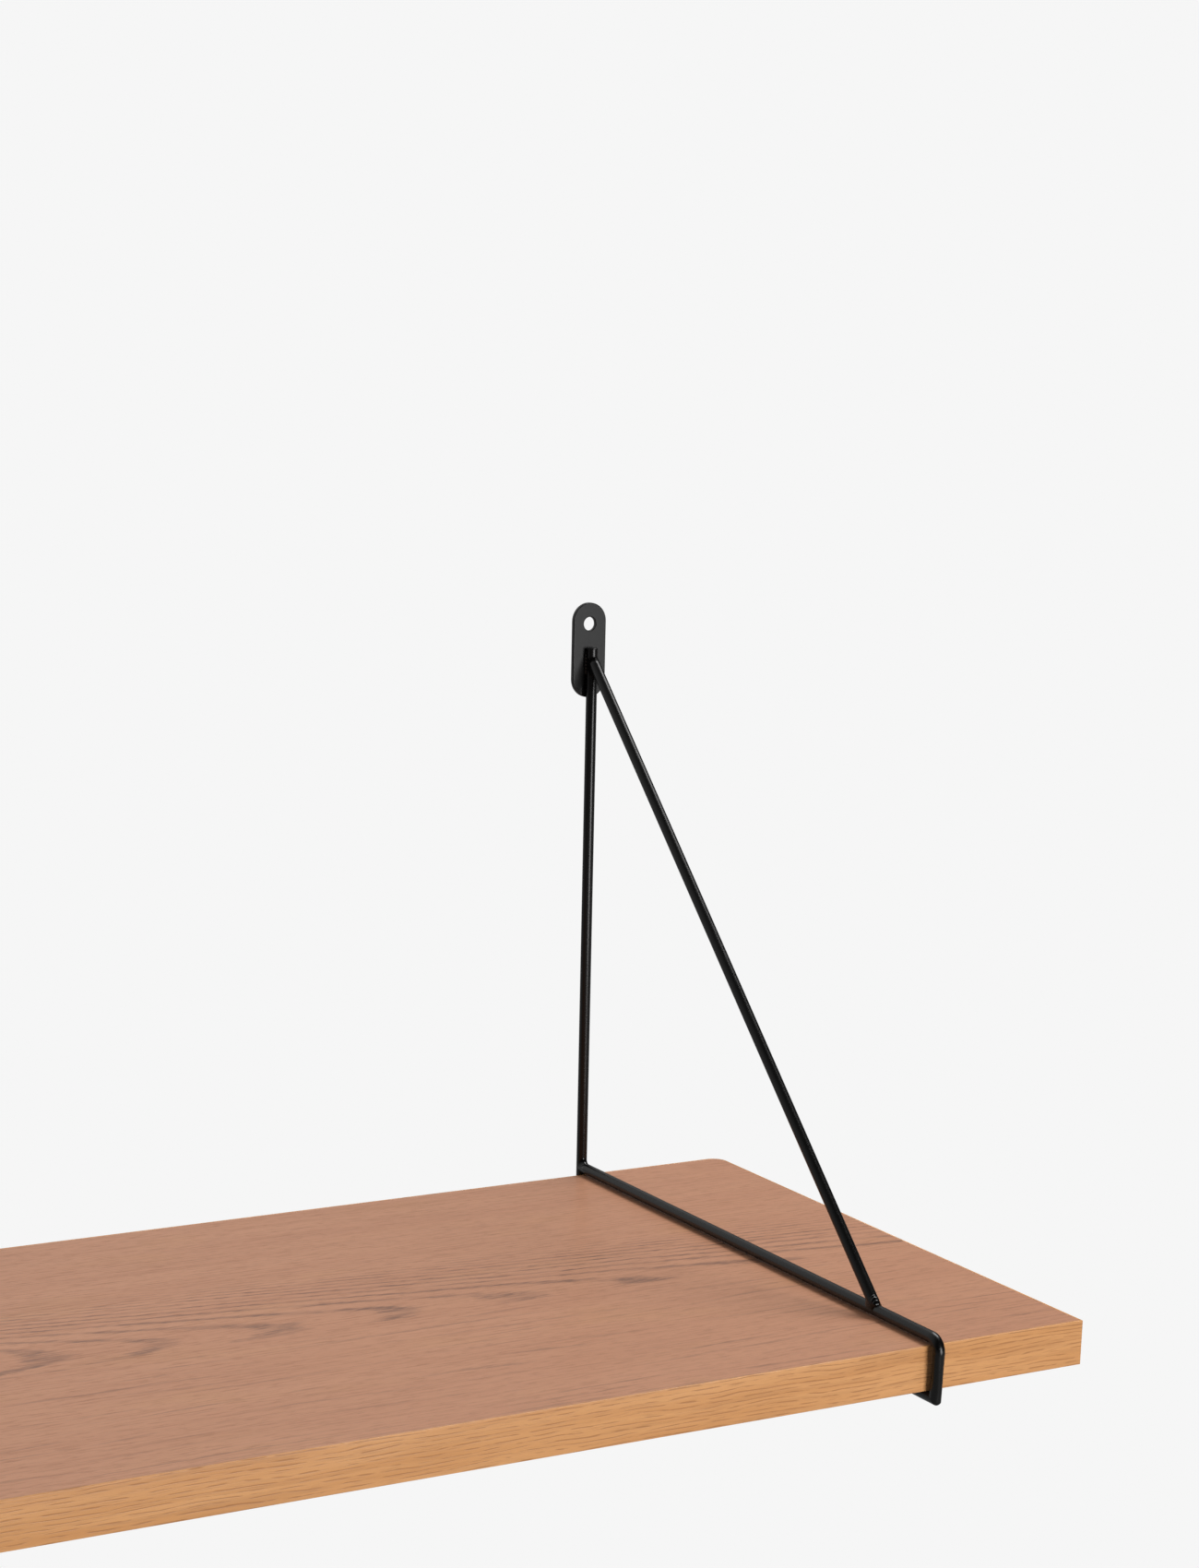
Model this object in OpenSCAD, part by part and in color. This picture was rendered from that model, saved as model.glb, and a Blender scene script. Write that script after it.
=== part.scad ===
// Wall shelf: a laminated board held in two welded wire brackets.
// +X runs to the right along the wall, +Y into the wall, +Z up.
// The origin is the centre of the four wall screw holes, on the wall's face.

/* [Board] */
// Width of the board along the wall
shelf_w = 800; // [500:10:1200]
// Depth of the board, front to back
shelf_d = 240; // [200:5:300]
// Thickness of the board, laminates included
shelf_t = 16; // [15:1:25]
// Thickness of each laminate
laminate_t = 0.5; // [0.3:0.1:1]
// Thickness of the edge bands
band_t = 1; // [0.6:0.1:2]
// Radius of the edge bands' top and bottom arrises
arris_r = 0.7; // [0.2:0.1:0.9]
// Plan radius of the two rear corners
back_corner_r = 6; // [3:1:20]

/* [Brackets] */
// Diameter of the bracket wire, powder coat included
wire_d = 4.2; // [3:0.1:6]
// Distance from the board's end to a bracket's plane
overhang = 63; // [30:1:150]
// Radius of the front bend, on the wire's centreline
bend_r = 4.5; // [3:0.5:12]
// How far the front drop leans in under the board, in degrees
drop_lean = 3; // [0:0.5:4]
// Distance from the board's front face back to the foot of the brace
brace_foot = 33.5; // [15:0.5:80]
// Height above the board where brace and upright meet
brace_rise = 204; // [120:1:260]
// Height of the upper wall screw above the board
upper_hole_rise = 217; // [150:1:290]
// Distance between the upper and the lower wall screw
hole_spacing_z = 260; // [200:1:340]

/* [Fits] */
// Gap between the top rail and the board
top_gap = 0.4; // [0.1:0.1:2]
// Gap between the board's rear edge and the upright
rear_gap = 0.4; // [0.1:0.1:2]
// Gap between the board's front face and the front bend, where the drop begins
front_gap = 1.2; // [1.1:0.1:3]
// How deep one wire is pressed into the next where they are welded
weld_sink = 0.5; // [0.2:0.1:1]

/* [Plates and tabs] */
// Width of the wall plates and of the shelf tabs
plate_w = 14; // [12:1:20]
// Thickness of the wall plates and of the shelf tabs
plate_t = 2; // [1.5:0.5:3]
// Radius of the wall screw holes
wall_hole_r = 2.6; // [2:0.1:3]
// Length of a wall plate
plate_l = 36; // [30:1:50]
// Distance from a bracket's plane to its shelf screws
screw_inset = 11; // [10:0.5:20]
// Distance from the board's front and rear edges to the shelf screws
screw_edge = 50; // [45:1:80]
// Radius of the screw holes in the tabs
tab_hole_r = 2; // [1.8:0.1:2.5]

/* [Screws] */
// Outer radius of the shelf screws' thread
screw_r = 1.75; // [1.5:0.05:1.8]
// Length of the shelf screws under the head
screw_l = 12; // [10:1:14]
// Radius of the shelf screws' head
screw_head_r = 3.5; // [3:0.1:4]
// Height of the shelf screws' head
screw_head_h = 2.4; // [1.5:0.1:3]

/* [Hidden] */
$fn = 64;

// Margin by which a cutting tool overshoots the piece that it cuts
over = 1;
// The drop starts inside the bend, thinner by this much, so both are one solid
join_step = 0.02;
join_depth = 0.3;
// Size of the blocks that trim wire ends
trim = 20;

wire_r = wire_d / 2;
bracket_x = shelf_w / 2 - overhang;

// Levels of the board
board_top = hole_spacing_z / 2 - upper_hole_rise;
board_bottom = board_top - shelf_t;
core_bottom = board_bottom + laminate_t;
core_top = board_top - laminate_t;

// Wires, seen from the side
upright_y = -plate_t - wire_r;
board_rear = upright_y - wire_r - rear_gap;
board_front = board_rear - shelf_d;
rail_z = board_top + top_gap + wire_r;
under_z = board_bottom - wire_r;

// Front bend: its centre, and the drop down to the bottom rail's centreline
bend_y = board_front - front_gap - wire_r + bend_r;
bend_z = rail_z - bend_r;
drop_start_y = bend_y - bend_r * cos(drop_lean);
drop_start_z = bend_z - bend_r * sin(drop_lean);
drop_foot_y = drop_start_y + (drop_start_z - under_z) * tan(drop_lean);
drop_l = (drop_start_z - under_z) / cos(drop_lean);
mitre_angle = (90 + drop_lean) / 2;

// Brace, from the top rail's centreline to the upright's centreline
foot_y = board_front + brace_foot;
apex_z = board_top + brace_rise;
brace_dy = upright_y - foot_y;
brace_dz = apex_z - rail_z;
brace_l = norm([brace_dy, brace_dz]);
brace_angle = atan2(brace_dy, brace_dz);

// Wall plates: the upright stops short of the screw hole
hole_to_wire = 9;
hole_to_end = 8;
upright_end = hole_spacing_z / 2 - hole_to_wire;

// Shelf tabs, inboard of the bottom rail
tab_start = 1.2;
tab_bottom = board_bottom - plate_t;
front_screw_y = board_front + screw_edge;
rear_screw_y = board_rear - screw_edge;

// Shelf screws
tip_l = 3;
core_r = 0.6;
recess_w = 0.9;
recess_l = 4;
recess_depth = 1.4;

// Weld beads
bead_w = 3;
bead_leg = 2.2;
foot_bead_reach = 6.3;
foot_bead_front = 4.6;
foot_bead_rise = 3.2;
top_bead_reach = 8;
plate_weld_l = 9;
plate_weld_in = 0.7;
plate_weld_out = 2.7;
plate_weld_h = 1.7;
tab_weld_l = 9;
tab_weld_in = 1.4;
tab_weld_out = 3.5;
tab_weld_h = 1.5;

wood_top = "#B7896F";
wood_edge = "#CB9867";
wood_core = "#BFA27C";
black_coat = "#1E1D1C";
zinc = "#B9BAB6";

// Placement of the two brackets: each is drawn in the plane x = 0 with
// the outboard side towards +x.
module on_right() { translate([bracket_x, 0, 0]) children(); }
module on_left() { mirror([1, 0, 0]) on_right() children(); }

// Plan outline of the board inside its edge bands
module inner_outline() {
    half_w = shelf_w / 2 - band_t;
    rear = board_rear - band_t;
    front = board_front + band_t;
    corner = back_corner_r - band_t;
    translate([-half_w, front]) square([2 * half_w, rear - corner - front]);
    translate([corner - half_w, front]) square([2 * (half_w - corner), rear - front]);
    for (side = [-1, 1])
        translate([side * (half_w - corner), rear - corner]) circle(r = corner);
}

// A slab of the board between two levels, inside the edge bands
module board_slab(low, high) {
    translate([0, 0, low])
        linear_extrude(high - low)
            inner_outline();
}

// Section of an edge band: inner face on x = 0, outer arrises rounded
module band_section() {
    intersection() {
        translate([0, board_bottom]) square([band_t, shelf_t]);
        union() {
            translate([0, board_bottom]) square([band_t - arris_r, shelf_t]);
            translate([0, board_bottom + arris_r]) square([band_t, shelf_t - 2 * arris_r]);
            for (level = [board_bottom + arris_r, board_top - arris_r])
                translate([band_t - arris_r, level]) circle(r = arris_r);
        }
    }
}

// A straight run of edge band along +x, with its outer face towards +y
module band_run(length) {
    rotate([90, 0, 90])
        linear_extrude(length)
            band_section();
}

// One quarter of edge band round a rear corner, from +x to +y
module band_corner() {
    rotate_extrude(angle = 90)
        translate([back_corner_r - band_t, 0]) band_section();
}

module shelf_core() {
    color(wood_core)
        difference() {
            board_slab(core_bottom, core_top);
            on_left() screw_shanks();
            on_right() screw_shanks();
        }
}

module top_laminate() {
    color(wood_top) board_slab(core_top, board_top);
}

module bottom_laminate() {
    color(wood_top)
        difference() {
            board_slab(board_bottom, core_bottom);
            on_left() screw_shanks();
            on_right() screw_shanks();
        }
}

module front_edge_band() {
    color(wood_edge)
        translate([shelf_w / 2, board_front + band_t, 0])
            rotate([0, 0, 180]) band_run(shelf_w);
}

module wrap_edge_band() {
    end_l = shelf_d - band_t - back_corner_r;
    back_l = shelf_w - 2 * back_corner_r;
    corner_x = shelf_w / 2 - back_corner_r;
    corner_y = board_rear - back_corner_r;
    color(wood_edge) {
        translate([-corner_x, board_rear - band_t, 0]) band_run(back_l);
        translate([corner_x, corner_y, 0]) band_corner();
        translate([-corner_x, corner_y, 0]) rotate([0, 0, 90]) band_corner();
        translate([shelf_w / 2 - band_t, corner_y, 0]) rotate([0, 0, -90]) band_run(end_l);
        translate([band_t - shelf_w / 2, corner_y - end_l, 0]) rotate([0, 0, 90]) band_run(end_l);
    }
}

// A wire along -y from y = back, at the height z
module wire_forward(back, z, length) {
    translate([0, back, z])
        rotate([90, 0, 0]) cylinder(r = wire_r, h = length);
}

module upright_wire() {
    translate([0, upright_y, -upright_end]) cylinder(r = wire_r, h = 2 * upright_end);
}

// Block on one side of the mitre between the drop and the bottom rail
module mitre_block(side) {
    translate([0, drop_foot_y, under_z])
        rotate([mitre_angle, 0, 0])
            translate([-trim / 2, -trim / 2, min(side * trim, 0)]) cube(trim);
}

module upright() {
    color(black_coat) upright_wire();
}

// The top wire, the front bend and the drop in one bent wire
module top_rail() {
    back = upright_y - wire_r + weld_sink;
    color(black_coat)
        difference() {
            union() {
                wire_forward(back, rail_z, back - bend_y);
                translate([0, bend_y, bend_z]) {
                    rotate([0, -90, 180])
                        rotate_extrude(angle = 90 + drop_lean)
                            translate([bend_r, 0]) circle(r = wire_r);
                    rotate([180 + drop_lean, 0, 0])
                        translate([0, bend_r, -join_depth])
                            cylinder(r = wire_r - join_step, h = join_depth + drop_l + wire_d);
                }
            }
            upright_wire();
            mitre_block(-1);
        }
}

module bottom_rail() {
    back = upright_y - wire_r + weld_sink;
    color(black_coat)
        difference() {
            wire_forward(back, under_z, back - drop_foot_y + wire_d);
            upright_wire();
            mitre_block(1);
        }
}

// The brace's ends are cut level and plumb, then seated on the wires
module brace() {
    foot_cut = rail_z + wire_r - weld_sink;
    top_cut = upright_y - wire_r + weld_sink;
    color(black_coat)
        difference() {
            translate([0, foot_y, rail_z])
                rotate([-brace_angle, 0, 0])
                    translate([0, 0, -wire_d]) cylinder(r = wire_r, h = brace_l + 2 * wire_d);
            translate([-trim / 2, foot_y - trim / 2, foot_cut - trim]) cube(trim);
            translate([-trim / 2, top_cut, apex_z - trim / 2]) cube(trim);
            wire_forward(upright_y, rail_z, upright_y - bend_y);
            upright_wire();
        }
}

// A flat strip with round ends, w wide, from the level low to the level high
module strip(low, high, w) {
    translate([-w / 2, low + w / 2]) square([w, high - low - w]);
    for (level = [low + w / 2, high - w / 2])
        translate([0, level]) circle(r = w / 2);
}

// A wall plate behind one end of the upright: end is 1 at the top, -1 below
module wall_plate(end) {
    hole_z = end * hole_spacing_z / 2;
    far_z = hole_z + end * hole_to_end;
    near_z = far_z - end * plate_l;
    color(black_coat)
        rotate([90, 0, 0])
            linear_extrude(plate_t)
                difference() {
                    strip(min(far_z, near_z), max(far_z, near_z), plate_w);
                    translate([0, hole_z]) circle(r = wall_hole_r);
                }
}

// A tab under the board, welded to the inboard side of the bottom rail
module shelf_tab(screw_y) {
    color(black_coat)
        difference() {
            translate([0, screw_y, tab_bottom]) {
                linear_extrude(plate_t)
                    difference() {
                        union() {
                            translate([-screw_inset, -plate_w / 2])
                                square([screw_inset - tab_start, plate_w]);
                            translate([-screw_inset, 0]) circle(r = plate_w / 2);
                        }
                        translate([-screw_inset, 0]) circle(r = tab_hole_r);
                    }
            }
            wire_forward(board_rear, under_z, shelf_d);
        }
}

// Threaded shank of a shelf screw, from the head up, as a plain round bar
module screw_shank() {
    cylinder(r = screw_r, h = screw_l - tip_l);
    translate([0, 0, screw_l - tip_l]) cylinder(r1 = screw_r, r2 = core_r, h = tip_l);
}

module at_screws() {
    for (y = [front_screw_y, rear_screw_y])
        translate([-screw_inset, y, tab_bottom]) children();
}

module screw_shanks() {
    at_screws() screw_shank();
}

// Pan-head screw with a cross recess, its head under the tab
module screw() {
    dome_r = (screw_head_r * screw_head_r + screw_head_h * screw_head_h) / (2 * screw_head_h);
    screw_shank();
    difference() {
        intersection() {
            translate([0, 0, dome_r - screw_head_h]) sphere(r = dome_r);
            translate([0, 0, -screw_head_h]) cylinder(r = screw_head_r, h = screw_head_h);
        }
        for (turn = [0, 90])
            rotate([0, 0, turn])
                translate([-recess_l / 2, -recess_w / 2, -screw_head_h - over])
                    cube([recess_l, recess_w, recess_depth + over]);
    }
}

module shelf_screws() {
    color(zinc) at_screws() screw();
}

// Fillet on both sides of the upright where it lies on a wall plate
module plate_weld(middle_z) {
    for (side = [0, 1])
        mirror([side, 0, 0])
            translate([0, 0, middle_z - plate_weld_l / 2])
                linear_extrude(plate_weld_l)
                    difference() {
                        translate([plate_weld_in, -plate_t - plate_weld_h])
                            square([plate_weld_out - plate_weld_in, plate_weld_h]);
                        translate([0, upright_y]) circle(r = wire_r);
                    }
}

// Fillet under a shelf tab, along the inboard side of the bottom rail
module tab_weld(screw_y) {
    translate([0, screw_y + tab_weld_l / 2, 0])
        rotate([90, 0, 0])
            linear_extrude(tab_weld_l)
                difference() {
                    translate([-tab_weld_out, tab_bottom - tab_weld_h])
                        square([tab_weld_out - tab_weld_in, tab_weld_h]);
                    translate([0, under_z]) circle(r = wire_r);
                }
}

// A fillet in the corner between two wires: an outline seen from the side,
// before the wires are cut out of it
module corner_bead(points) {
    rotate([90, 0, 90])
        linear_extrude(bead_w, center = true) polygon(points);
}

// A fillet between the upright and a rail at the level z, on the side up or down
module rail_bead(z, up) {
    reach = wire_d + bead_leg;
    corner_bead([[upright_y, z], [upright_y - reach, z], [upright_y, z + up * reach]]);
}

module weld_beads() {
    foot_back = foot_y + foot_bead_reach;
    foot_front = foot_y - foot_bead_front;
    top_low = apex_z - top_bead_reach;
    plate_weld_z = upright_end - plate_weld_l / 2 - over;
    color(black_coat) {
        difference() {
            union() {
                rail_bead(rail_z, 1);
                rail_bead(under_z, -1);
                corner_bead([
                    [foot_front, rail_z],
                    [foot_back, rail_z],
                    [foot_back, rail_z + foot_bead_reach / tan(brace_angle)],
                    [foot_front, rail_z + foot_bead_rise]
                ]);
                corner_bead([
                    [upright_y, apex_z],
                    [upright_y, top_low],
                    [upright_y - top_bead_reach * tan(brace_angle), top_low]
                ]);
            }
            upright_wire();
            top_rail();
            bottom_rail();
            brace();
        }
        for (end = [-1, 1]) plate_weld(end * plate_weld_z);
        for (y = [front_screw_y, rear_screw_y]) tab_weld(y);
    }
}

shelf_core();
top_laminate();
bottom_laminate();
front_edge_band();
wrap_edge_band();
on_left() upright();  // left_upright
on_left() top_rail();  // left_top_rail
on_left() bottom_rail();  // left_bottom_rail
on_left() brace();  // left_brace
on_left() wall_plate(1);  // left_upper_wall_plate
on_left() wall_plate(-1);  // left_lower_wall_plate
on_left() shelf_tab(front_screw_y);  // left_front_tab
on_left() shelf_tab(rear_screw_y);  // left_rear_tab
on_left() weld_beads();  // left_weld_beads
on_left() shelf_screws();  // left_shelf_screws
on_right() upright();  // right_upright
on_right() top_rail();  // right_top_rail
on_right() bottom_rail();  // right_bottom_rail
on_right() brace();  // right_brace
on_right() wall_plate(1);  // right_upper_wall_plate
on_right() wall_plate(-1);  // right_lower_wall_plate
on_right() shelf_tab(front_screw_y);  // right_front_tab
on_right() shelf_tab(rear_screw_y);  // right_rear_tab
on_right() weld_beads();  // right_weld_beads
on_right() shelf_screws();  // right_shelf_screws
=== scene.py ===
"""Wall shelf: an oak-decor board held by two black wire brackets.

Shapes are worked out in millimetres in the CAD model's own frame and scaled to
metres when a mesh is made. A bracket is drawn once, in the plane x = 0 with its
outboard side towards +x, and placed on the right and, mirrored, on the left.
"""

import math

import bmesh
import bpy
from mathutils import Matrix, Vector
from mathutils.geometry import tessellate_polygon


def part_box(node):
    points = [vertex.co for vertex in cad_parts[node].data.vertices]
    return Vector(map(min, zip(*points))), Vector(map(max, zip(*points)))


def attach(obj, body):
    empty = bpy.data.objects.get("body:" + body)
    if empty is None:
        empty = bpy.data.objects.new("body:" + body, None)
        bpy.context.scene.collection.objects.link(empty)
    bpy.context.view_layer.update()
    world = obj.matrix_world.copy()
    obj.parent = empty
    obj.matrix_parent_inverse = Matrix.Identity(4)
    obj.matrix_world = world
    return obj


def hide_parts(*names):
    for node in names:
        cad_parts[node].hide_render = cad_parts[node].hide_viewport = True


MM = 0.001
SIDES = 56  # of a wire's rings

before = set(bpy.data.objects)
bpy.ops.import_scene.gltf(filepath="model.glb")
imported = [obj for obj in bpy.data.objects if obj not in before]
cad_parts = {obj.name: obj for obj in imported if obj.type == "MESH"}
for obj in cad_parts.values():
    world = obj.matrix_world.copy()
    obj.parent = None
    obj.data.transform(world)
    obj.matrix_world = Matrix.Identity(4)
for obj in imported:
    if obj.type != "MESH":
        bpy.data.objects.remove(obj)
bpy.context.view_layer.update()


# ---------------------------------------------------------------- dimensions


def low_high(node):
    """A CAD node's box in millimetres."""
    low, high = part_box(node)
    return low / MM, high / MM


band_low, band_high = low_high("front_edge_band")
_, wrap_high = low_high("wrap_edge_band")
upright_low, upright_high = low_high("right_upright")
rail_low, rail_high = low_high("right_top_rail")
under_low, _ = low_high("right_bottom_rail")
plate_low, plate_high = low_high("right_upper_wall_plate")
tab_low, tab_high = low_high("right_front_tab")
rear_tab_low, rear_tab_high = low_high("right_rear_tab")
top_skin_low, _ = low_high("top_laminate")
_, bottom_skin_high = low_high("bottom_laminate")

HALF_W = band_high.x
FRONT = band_low.y
BAND_T = band_high.y - band_low.y
REAR = wrap_high.y
TOP, BOTTOM = band_high.z, band_low.z
SKIN_TOP_Z, SKIN_BOTTOM_Z = top_skin_low.z, bottom_skin_high.z

WIRE_R = (upright_high.y - upright_low.y) / 2
BRACKET_X = (upright_low.x + upright_high.x) / 2
UPRIGHT_Y = (upright_low.y + upright_high.y) / 2
UPRIGHT_END = upright_high.z
RAIL_Z = rail_high.z - WIRE_R
UNDER_Z = under_low.z + WIRE_R

# board: rear corners, rounded arrises, and the fine groove where band and decor meet
CORNER_R = 6.0
ARRIS_R = 0.45
GROOVE = 0.07

# wires: bends, the brace's foot and apex on the axes of the wires that it joins, how
# far the welds in its sharp corners reach, the ease of a cut end, and how far a coped
# end sinks into the upright and how long it is
BEND_R = 4.5
DROP_LEAN = math.radians(3)
FOOT_Y = FRONT + 33.5
APEX_Z = TOP + 204
BRACE_ANGLE = math.atan2(UPRIGHT_Y - FOOT_Y, APEX_Z - RAIL_Z)
FOOT_REACH = 5.8
APEX_REACH = 6.6
END_EASE = 0.5
COPE_SINK = 0.05
COPE_ROOM = 3.0

BEND_Y = rail_low.y + WIRE_R + BEND_R
BEND_Z = RAIL_Z - BEND_R
STRAIGHT_END_Y = UPRIGHT_Y - WIRE_R - COPE_ROOM

# plates, tabs and screws
PLATE_T = -plate_low.y
PLATE_W = plate_high.x - plate_low.x
HOLE_INSET = 8
HOLE_Z = plate_high.z - HOLE_INSET
WALL_HOLE_R = 2.6
SCREW_INSET = 11.0
TAB_HOLE_R = 2.0
TAB_START = 1.2
SCREW_R = 1.75
SCREW_HEAD_R = 3.5
SCREW_HEAD_H = 2.4
SCREW_L = 12.0
SCREW_TIP = 3.0
SCREW_TIP_R = 0.5
SCREW_PITCH = 1.4
SCREW_FRONT_Y = (tab_low.y + tab_high.y) / 2
SCREW_REAR_Y = (rear_tab_low.y + rear_tab_high.y) / 2


# ---------------------------------------------------------------- mesh tools


class Shape:
    """Vertices in millimetres and faces, each face smooth or flat."""

    def __init__(self):
        self.verts, self.faces, self.smooth = [], [], []

    def ring(self, points):
        start = len(self.verts)
        self.verts += [Vector(p) for p in points]
        return list(range(start, len(self.verts)))

    def face(self, indices, smooth=False):
        self.faces.append(tuple(indices))
        self.smooth.append(smooth)

    def bridge(self, a, b):
        """Smooth quads between two closed rings of the same length."""
        for i in range(len(a)):
            j = (i + 1) % len(a)
            self.face((a[i], a[j], b[j], b[i]), smooth=True)

    def loft(self, rings, caps=True):
        """A surface through closed rings of points, with flat ends unless caps is off."""
        made = [self.ring(r) for r in rings]
        for a, b in zip(made, made[1:]):
            self.bridge(a, b)
        if caps:
            self.face(made[0])
            self.face(made[-1])
        return made

    def fill(self, loops):
        """Triangles over a flat outline with holes; loops are rings of indices."""
        flat = [i for loop in loops for i in loop]
        for tri in tessellate_polygon([[self.verts[i] for i in loop] for loop in loops]):
            self.face([flat[k] for k in tri])

    def add(self, other):
        start = len(self.verts)
        self.verts += other.verts
        self.faces += [tuple(i + start for i in f) for f in other.faces]
        self.smooth += other.smooth


def lofted(rings):
    shape = Shape()
    shape.loft(list(rings))
    return shape


def build(name, shape, material, nodes, side=None):
    """Makes the object: side is 1 or -1 for a piece of a bracket, None for the board."""
    place = [v.copy() for v in shape.verts]
    if side is not None:
        for v in place:
            v.x = side * (v.x + BRACKET_X)
    mesh = bpy.data.meshes.new(name)
    mesh.from_pydata([v * MM for v in place], [], shape.faces)
    mesh.polygons.foreach_set("use_smooth", shape.smooth)
    work = bmesh.new()
    work.from_mesh(mesh)
    bmesh.ops.recalc_face_normals(work, faces=work.faces)
    work.to_mesh(mesh)
    work.free()
    mesh.materials.append(material)
    piece = bpy.data.objects.new(name, mesh)
    bpy.context.scene.collection.objects.link(piece)
    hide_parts(*nodes)
    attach(piece, "root")


def arc(radius, start, end, steps):
    """Points of an arc about the origin; angles in degrees, both ends included."""
    turns = [math.radians(start + (end - start) * i / steps) for i in range(steps + 1)]
    return [(radius * math.cos(t), radius * math.sin(t)) for t in turns]


def quarter_turn(steps):
    """Angles from 0 to 90 degrees, in radians."""
    return [math.pi / 2 * i / steps for i in range(steps + 1)]


def slab(outline, holes, profile, place):
    """A flat piece with shaped edges.

    outline(inset) and each hole(inset) give 2-D points, profile lists (inset, height)
    from the lower face to the upper, and place(u, v, height) gives the 3-D point.
    """
    shape = Shape()
    loops = []
    for edge in [outline] + holes:
        made = shape.loft(
            [[place(u, v, h) for u, v in edge(inset)] for inset, h in profile],
            caps=False,
        )
        loops.append((made[0], made[-1]))
    shape.fill([low for low, _ in loops])
    shape.fill([high for _, high in loops])
    return shape


def round_hole(u, v, radius, steps=40):
    """A hole for slab(): the inset makes it wider."""
    last = 360 * (steps - 1) / steps
    return lambda inset: [(u + a, v + b) for a, b in arc(radius + inset, 0, last, steps - 1)]


def eased_profile(height, ease, steps=4):
    """Edge profile for slab(): both faces meet the sides in a small radius."""
    low = [(ease * (1 - math.sin(t)), ease * (1 - math.cos(t))) for t in quarter_turn(steps)]
    return low + [(inset, height - h) for inset, h in reversed(low)]


# ---------------------------------------------------------------- board


def band_section(inset=0.0):
    """Closed section of an edge band as (out, z), with rounded outer arrises."""
    centre = BAND_T - ARRIS_R
    points = [(0, BOTTOM + GROOVE), (GROOVE, BOTTOM)]
    points += [(centre + a, BOTTOM + ARRIS_R + b) for a, b in arc(ARRIS_R, 270, 360, 7)]
    points += [(centre + a, TOP - ARRIS_R + b) for a, b in arc(ARRIS_R, 0, 90, 7)]
    points += [(GROOVE, TOP), (0, TOP - GROOVE)]
    return [
        (min(n, BAND_T - inset), min(max(z, BOTTOM + inset), TOP - inset))
        for n, z in points
    ]


def front_band():
    """The front strip over the whole width, its ends eased."""
    ends = [
        (END_EASE * (1 - math.cos(t)), END_EASE * (1 - math.sin(t))) for t in quarter_turn(6)
    ]
    stations = [(-HALF_W + along, inset) for along, inset in ends]
    stations += [(HALF_W - along, inset) for along, inset in reversed(ends)]
    return lofted(
        [(x, FRONT + BAND_T - n, z) for n, z in band_section(inset)]
        for x, inset in stations
    )


def wrap_path():
    """Inner line of the strip round the ends and the rear, with its outward direction."""
    inner_r = CORNER_R - BAND_T
    side_x = HALF_W - BAND_T
    front_y = FRONT + BAND_T
    centre_y = REAR - CORNER_R
    turns = [math.radians(a) for a in range(0, 91, 6)]
    right = [
        (
            (HALF_W - CORNER_R + inner_r * math.cos(t), centre_y + inner_r * math.sin(t)),
            (math.cos(t), math.sin(t)),
        )
        for t in turns
    ]
    right.insert(0, ((side_x, front_y), (1.0, 0.0)))
    left = [((-p[0], p[1]), (-n[0], n[1])) for p, n in reversed(right)]
    return right + left


def wrap_band():
    """The strip round both ends and the rear."""
    section = band_section()
    return lofted(
        [(p[0] + out * n[0], p[1] + out * n[1], z) for out, z in section]
        for p, n in wrap_path()
    )


def skin_outline(inset):
    """Plan outline of the board inside its bands."""
    path = wrap_path()
    front_corners = (0, len(path) - 1)
    return [
        (p[0] - inset * n[0], p[1] + (inset if i in front_corners else 0) - inset * n[1])
        for i, (p, n) in enumerate(path)
    ]


def skin(low, high, top):
    """A decor sheet; its exposed face has a fine chamfer where it meets the bands."""
    profile = [(0, low), (0, high - GROOVE), (GROOVE, high)]
    holes = []
    if not top:
        profile = [(GROOVE, low), (0, low + GROOVE), (0, high)]
        holes = [
            round_hole(side * (BRACKET_X - SCREW_INSET), y, SCREW_R)
            for side in (-1, 1)
            for y in (SCREW_FRONT_Y, SCREW_REAR_Y)
        ]
    return slab(skin_outline, holes, profile, lambda u, v, h: (u, v, h))


# ---------------------------------------------------------------- wires


def spin(steps=SIDES):
    return [2 * math.pi * i / steps for i in range(steps)]


def wire_ring(y, z, dy, dz, radius=WIRE_R):
    """Circle across a wire that runs in the direction (dy, dz) in the plane x = 0."""
    return [
        (radius * math.cos(a), y - dz * radius * math.sin(a), z + dy * radius * math.sin(a))
        for a in spin()
    ]


def upright():
    """Straight wire, its sheared ends slightly rounded."""
    low_end = []
    for t in reversed(quarter_turn(5)):
        z = -UPRIGHT_END + END_EASE * (1 - math.sin(t))
        radius = WIRE_R - END_EASE * (1 - math.cos(t))
        low_end.append(wire_ring(UPRIGHT_Y, z, 0, 1, radius))
    high_end = [[(x, y, -z) for x, y, z in ring] for ring in reversed(low_end)]
    return lofted(low_end + high_end)


def coped(y, z, dy, dz):
    """End ring of a wire along y, cut to sit on the upright."""
    return [
        (px, UPRIGHT_Y - math.sqrt(max(WIRE_R**2 - px**2, 0)) + COPE_SINK, pz)
        for px, _, pz in wire_ring(y, z, dy, dz)
    ]


def straight_rings(start, stop, z, dy):
    """Rings of a wire that runs along y from start to stop, dy being its sense."""
    spans = 12
    return [
        wire_ring(start + (stop - start) * i / spans, z, dy, 0) for i in range(spans + 1)
    ]


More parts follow.
